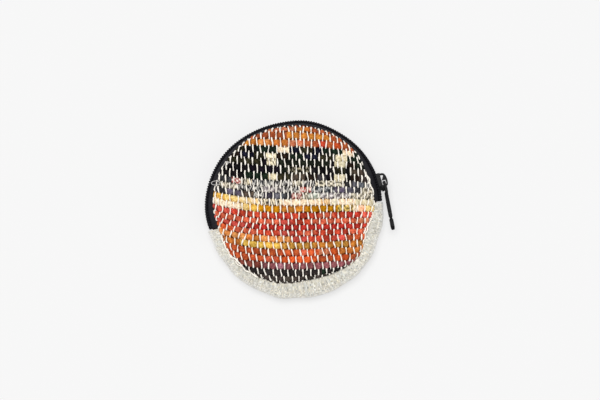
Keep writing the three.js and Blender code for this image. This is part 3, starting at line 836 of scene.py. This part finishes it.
# Each row of the coil, with how far it starts behind the other, and the cord that it is wound round
ROW_SHIFT = TOOTH_PITCH / 2
COIL_ROWS = ((1, 0.0), (-1, ROW_SHIFT))
CORD_ACROSS = 1.2
CORD_DEPTH = 0.74
CORD_RADIUS = 0.42
CORD_STEPS = 2
# The slider's post holds the rows apart between it and the closed end.
POST_BEHIND = math.radians(4)
POST_ANGLE = SLIDER_ANGLE - POST_BEHIND
PARTING_TURN = math.radians(3)
PARTED = 0.7
# Towards its left end the zip is turned a little: the row at the back sinks by this share of its height.
SUNK_SHARE = 0.28
SUNK_FROM = math.radians(105)
SUNK_TO = math.radians(150)


def coil_places(side, across, depth, along):
    """Places over one tape, from distances out from the slit and along it in millimetres."""
    angle = COIL_FROM + along / (OUTLINE_RADIUS - TAPE_RECESS)
    parted = PARTED * (1 - smooth_step(angle, POST_ANGLE, POST_ANGLE + PARTING_TURN))
    sunk = SUNK_SHARE * smooth_step(angle, SUNK_FROM, SUNK_TO) if side < 0 else 0.0
    part = SLIT_PART + side * (across + parted) / STRIP_WIDTH
    return gusset_place(angle, part, depth * (1 - sunk), TAPE_RECESS)


def coil_tubes():
    """Both rows of the coil, each one strand wound turn after turn round a cord, meshed by half a pitch."""
    tubes = TubeSet()
    turns = math.floor((COIL_RUN - ROW_SHIFT) / TOOTH_PITCH)
    across, depth, part = np.tile(np.array(COIL_TURN), (turns, 1)).T
    along = (np.repeat(np.arange(turns), len(COIL_TURN)) + part) * TOOTH_PITCH
    cord_along = np.linspace(0, COIL_RUN, CORD_STEPS * turns)
    for side, start in COIL_ROWS:
        strand = coil_places(side, across, depth, along + start)
        tubes.add(tube_along(strand, COIL_RADIUS, COIL_SIDES))
        cord = coil_places(side, CORD_ACROSS, CORD_DEPTH, cord_along)
        tubes.add(tube_along(cord, CORD_RADIUS, COIL_SIDES))
    return tubes


STITCH_ROWS = (1.05, 1.75)
STITCH_RADIUS = 0.13
STITCH_SIDES = 5
STITCH_STEPS = 6
STITCH_DEPTH = 1.22
STITCH_DIP = 0.32
# How far along a turn of the coil its stitches are highest
STITCH_TOP = 0.05


def stitch_tubes():
    """The threads that sew the coil to its tapes, which dip between the turns."""
    tubes = TubeSet()
    along = np.linspace(0, COIL_RUN, round(COIL_RUN / TOOTH_PITCH * STITCH_STEPS))
    for side, start in COIL_ROWS:
        over = np.cos(TURN * (along - start - STITCH_TOP * TOOTH_PITCH) / TOOTH_PITCH)
        for row in STITCH_ROWS:
            path = coil_places(side, row, STITCH_DEPTH + STITCH_DIP * over, along)
            tubes.add(tube_along(path, STITCH_RADIUS, STITCH_SIDES))
    return tubes


# Loose threads on the front: x, y and height over the cloth, or over the slope outside its seam
LOOSE_THREADS = (
    ((-40.4, 14.8, 0.0), (-41.4, 15.3, 0.5), (-43.2, 15.8, 0.9), (-45.0, 15.4, 0.8), (-45.7, 14.6, 0.7),
     (-45.0, 13.9, 0.8), (-43.4, 13.6, 0.9), (-41.8, 14.0, 0.4), (-41.0, 13.6, 0.0)),
    ((-39.0, 24.2, 0.2), (-38.4, 25.2, 0.6), (-37.6, 26.2, 0.6), (-36.8, 26.5, 0.4), (-36.0, 26.2, 0.0)),
    ((-37.4, 24.0, 0.1), (-36.9, 24.8, 0.5), (-36.2, 25.8, 0.5), (-35.4, 25.9, 0.0)),
)
THREAD_RADIUS = 0.2
THREAD_SIDES = 6
THREAD_STEPS = 10
THREAD_DROOP = 0.7
# Keeps the end of a curve inside its last span
END_TRIM = 1e-6


def through(points, count):
    """A smooth open curve through points."""
    known = np.array(points)
    padded = np.concatenate([[2 * known[0] - known[1]], known, [2 * known[-1] - known[-2]]])
    place = np.linspace(0, len(known) - 1 - END_TRIM, count)
    first = np.floor(place).astype(int)
    four = (padded[first + step] for step in range(4))
    return spline(*four, (place - first)[:, None])


def front_height(x, y):
    """The height of the front's outside over the table, and beyond its seam that of a slope down."""
    from_centre = np.stack([x, y]) - np.array(FRONT_CENTRE)[:, None]
    seam = seam_radius(np.arctan2(from_centre[1], from_centre[0]))
    reach = np.hypot(*from_centre) / seam
    rolled = np.clip((reach - ROLL_FROM) / (1 - ROLL_FROM), 0, 1)
    droop = THREAD_DROOP * seam * np.maximum(0, reach - 1)
    return front_plane(y) + ROLL_HEIGHT * np.sqrt(1 - rolled**2) + FRONT_DOME * (1 - reach**2) - droop


def loose_tubes():
    """Loose ends of grey thread that lie on the front near its left edge, one in a loop over the zip."""
    tubes = TubeSet()
    for points in LOOSE_THREADS:
        x, y, height = through(points, THREAD_STEPS * len(points)).T
        path = np.stack([x, y, front_height(x, y) + height], axis=-1)
        tubes.add(tube_along(path, THREAD_RADIUS, THREAD_SIDES))
    return tubes


# Materials


SHEEN_ROUGHNESS = 0.75


def grey(tone):
    return (tone, tone, tone)


def set_inputs(node, values):
    for name, value in values.items():
        node.inputs[name].default_value = value


class Look:
    """A node material with the few kinds of node that the finishes use."""

    def __init__(self, name, roughness=0.5):
        self.material = bpy.data.materials.new(name)
        self.material.use_nodes = True
        self.nodes = self.material.node_tree.nodes
        self.links = self.material.node_tree.links
        self.shader = self.nodes["Principled BSDF"]
        set_inputs(self.shader, {"Roughness": roughness})
        self.place = self.nodes.new("ShaderNodeTexCoord").outputs["Object"]

    def node(self, kind, values):
        made = self.nodes.new("ShaderNode" + kind)
        set_inputs(made, values)
        return made

    def noise(self, scale, detail=3.0):
        node = self.node("TexNoise", {"Scale": scale, "Detail": detail})
        self.links.new(self.place, node.inputs["Vector"])
        return node.outputs["Fac"]

    def waves(self, scale, distortion):
        node = self.node("TexWave", {"Scale": scale, "Distortion": distortion})
        node.bands_direction = "DIAGONAL"
        self.links.new(self.place, node.inputs["Vector"])
        return node.outputs["Fac"]

    def ramp(self, factor, low, high, ends=(0.3, 0.7)):
        """Colours from low to high as a factor goes between its ends."""
        node = self.node("ValToRGB", {})
        for element, place, colour in zip(node.color_ramp.elements, ends, (low, high)):
            element.position = place
            element.color = (*colour, 1)
        self.links.new(factor, node.inputs["Fac"])
        return node.outputs["Color"]

    def dye(self):
        node = self.node("VertexColor", {})
        node.layer_name = "dye"
        return node.outputs["Color"]

    def multiply(self, first, second):
        node = self.node("Mix", {"Factor": 1.0})
        node.data_type = "RGBA"
        node.blend_type = "MULTIPLY"
        self.links.new(first, node.inputs["A"])
        self.links.new(second, node.inputs["B"])
        return node.outputs["Result"]

    def colour(self, output):
        self.links.new(output, self.shader.inputs["Base Color"])

    def roughen(self, factor, low, high):
        node = self.node("MapRange", {"To Min": low, "To Max": high})
        self.links.new(factor, node.inputs["Value"])
        self.links.new(node.outputs["Result"], self.shader.inputs["Roughness"])

    def bump(self, factor, depth, strength=0.6):
        node = self.node("Bump", {"Strength": strength, "Distance": depth})
        self.links.new(factor, node.inputs["Height"])
        self.links.new(node.outputs["Normal"], self.shader.inputs["Normal"])

    def gloss(self, level):
        set_inputs(self.shader, {"Specular IOR Level": level})

    def fuzz(self, weight):
        set_inputs(self.shader, {"Sheen Weight": weight, "Sheen Roughness": SHEEN_ROUGHNESS})


def rag_look():
    look = Look("rag_cloth_look", roughness=0.92)
    creases = look.noise(1000, detail=5.0)
    # The dye is mottled on the noise of the crumple bump: partly the rags' uneven tone, partly painted
    # light and shade of the crumples
    tone_and_crumple_shade = look.ramp(creases, grey(0.64), grey(1.2), (0.36, 0.64))
    look.colour(look.multiply(look.dye(), tone_and_crumple_shade))
    look.bump(creases, depth=0.0005)
    look.gloss(0.03)
    return look.material


def warp_look():
    look = Look("cotton_warp_look", roughness=0.85)
    look.colour(look.ramp(look.noise(900), (0.86, 0.805, 0.705), (0.97, 0.93, 0.85)))
    look.bump(look.waves(520, distortion=1.5), depth=0.00012)
    return look.material


def linen_look():
    look = Look("linen_look", roughness=0.95)
    fibres = look.ramp(look.noise(2200), grey(0.8), grey(1.0))
    look.colour(look.multiply(look.dye(), fibres))
    look.bump(look.noise(4200, detail=4.0), depth=0.00008)
    look.gloss(0.2)
    look.fuzz(1.0)
    return look.material


def tape_look():
    look = Look("zip_tape_look", roughness=0.7)
    look.colour(look.ramp(look.noise(1500), (0.010, 0.0095, 0.012), (0.022, 0.021, 0.026)))
    look.bump(look.noise(4000, detail=2.0), depth=0.00006)
    look.gloss(0.12)
    return look.material


def coil_look():
    look = Look("zip_coil_look")
    look.colour(look.ramp(look.noise(700), (0.009, 0.009, 0.011), (0.020, 0.019, 0.024)))
    look.roughen(look.noise(1200), 0.55, 0.75)
    look.gloss(0.06)
    return look.material


def thread_look(name, low, high):
    look = Look(name, roughness=0.85)
    look.colour(look.ramp(look.noise(1400), low, high))
    look.bump(look.waves(900, distortion=1.0), depth=0.00005)
    look.gloss(0.15)
    return look.material


def enamel_look():
    look = Look("black_metal_look")
    look.colour(look.ramp(look.noise(600), (0.004, 0.004, 0.005), (0.010, 0.010, 0.011)))
    look.roughen(look.noise(900), 0.3, 0.45)
    look.bump(look.noise(500, detail=2.0), depth=0.00003, strength=0.2)
    look.gloss(0.06)
    return look.material


def dress(piece, material, body):
    """Gives a new piece its material and the body that it rides on."""
    piece.data.materials.append(material)
    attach(piece, body)
    return piece


# Cloth panels

FRONT_SPACING = 0.3
BACK_SPACING = 0.42
BACK_WARP_STEPS = 6
FRONT_SEED = 11
BACK_SEED = 12
front = Panel(FRONT_CENTRE, seam_radius, FRONT_ROWS, 1)
back = Panel(BACK_CENTRE, back_radius, BACK_ROWS, -1)
rag_material = rag_look()
warp_material = warp_look()


def cloth(panel, name, node, spacing, steps, seed):
    """A panel's weft and warp, which stand for its solid."""
    rng = np.random.default_rng(seed)
    crossings = panel_crossings(panel, rng)
    strips = weft_tubes(panel, crossings, spacing, rng)
    weft = dress(strips.build(name + "_weft"), rag_material, "purse")
    yarns = warp_tubes(panel, crossings, steps, rng)
    for start, end, part in RIM_YARNS:
        yarns.add(rim_yarn(panel, start, end, part, rng))
    warp = dress(yarns.build(name + "_warp"), warp_material, "purse")
    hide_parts(node)
    return weft, warp


front_weft, front_warp = cloth(front, "front", "front_panel", FRONT_SPACING, WARP_STEPS, FRONT_SEED)
back_weft, back_warp = cloth(back, "back", "back_panel", BACK_SPACING, BACK_WARP_STEPS, BACK_SEED)
grey_thread = thread_look("loose_thread_look", (0.36, 0.35, 0.34), (0.62, 0.60, 0.58))
loose_threads = dress(loose_tubes().build("loose_threads"), grey_thread, "purse")

# Linen and zip

LINEN_SEED = 13
linen = dress(linen_strip(np.random.default_rng(LINEN_SEED)), linen_look(), "purse")
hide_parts("linen_gusset")

tape_material = tape_look()
tape_front = dress(tape_strip("tape_front", SLIT_FRONT, 1.0), tape_material, "purse")
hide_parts("zip_tape_front")
tape_back = dress(tape_strip("tape_back", 0.0, SLIT_BACK), tape_material, "purse")
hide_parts("zip_tape_back")
coil = dress(coil_tubes().build("zip_coil"), coil_look(), "purse")
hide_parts("zip_chain")
black_thread = thread_look("coil_thread_look", (0.006, 0.006, 0.007), (0.016, 0.016, 0.02))
coil_stitches = dress(stitch_tubes().build("coil_stitches"), black_thread, "purse")

# Slider and pull keep the part's own solids, with their edges eased.

EASED_EDGE = 0.14
EASED_STEPS = 2
EASED_ANGLE = math.radians(25)
enamel = enamel_look()
for node in ("zip_slider", "zip_pull"):
    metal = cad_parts[node]
    metal.data.materials.clear()
    metal.data.materials.append(enamel)
    ease = metal.modifiers.new("eased_edges", "BEVEL")
    ease.width = EASED_EDGE * MM
    ease.segments = EASED_STEPS
    ease.limit_method = "ANGLE"
    ease.angle_limit = EASED_ANGLE

# Floor, light and camera

FLOOR_SIZE = 80.0
FLOOR_DROP = 0.0002
FLOOR_TONE = 0.27
WHITE = (1, 1, 1, 1)
FLOOR_GLOW = 0.592
SKY_STRENGTH = 0.52
KEY_STRENGTH = 2.4
KEY_SPREAD = math.radians(34)
KEY_TURN = (math.radians(-14), math.radians(-4), 0)
PHOTO_WIDTH_PX = 600
PX_PER_MM = 1.8
PHOTO_WIDTH_MM = PHOTO_WIDTH_PX / PX_PER_MM
PHOTO_CENTRE_MM = (3.33, 5.28)
PHOTO_LEVEL_MM = 9.0
LENS_MM = 150.0
SENSOR_MM = 36.0


def add_floor():
    half = FLOOR_SIZE / 2 / MM
    level = -FLOOR_DROP / MM
    corners = [(-half, -half, level), (half, -half, level), (half, half, level), (-half, half, level)]
    floor = mesh_object("floor", corners, [(0, 1, 2, 3)])
    look = Look("floor_look", roughness=0.9)
    set_inputs(look.shader, {"Base Color": (*grey(FLOOR_TONE), 1)})
    set_inputs(look.shader, {"Emission Color": WHITE, "Emission Strength": FLOOR_GLOW})
    look.gloss(0.0)
    floor.data.materials.append(look.material)


def add_lights():
    world = bpy.data.worlds.new("studio")
    world.use_nodes = True
    sky = world.node_tree.nodes["Background"]
    set_inputs(sky, {"Color": WHITE, "Strength": SKY_STRENGTH})
    bpy.context.scene.world = world
    lamp = bpy.data.lights.new("key", "SUN")
    lamp.energy = KEY_STRENGTH
    lamp.angle = KEY_SPREAD
    key = bpy.data.objects.new("key", lamp)
    key.rotation_euler = KEY_TURN
    bpy.context.scene.collection.objects.link(key)


def add_camera():
    lens = bpy.data.cameras.new("camera")
    lens.lens = LENS_MM
    lens.sensor_width = SENSOR_MM
    lens.clip_end = FLOOR_SIZE
    camera = bpy.data.objects.new("camera", lens)
    distance = LENS_MM / SENSOR_MM * PHOTO_WIDTH_MM
    camera.location = (PHOTO_CENTRE_MM[0] * MM, PHOTO_CENTRE_MM[1] * MM, (PHOTO_LEVEL_MM + distance) * MM)
    bpy.context.scene.collection.objects.link(camera)
    bpy.context.scene.camera = camera


add_floor()
add_lights()
add_camera()
bpy.context.scene.view_settings.view_transform = "Standard"
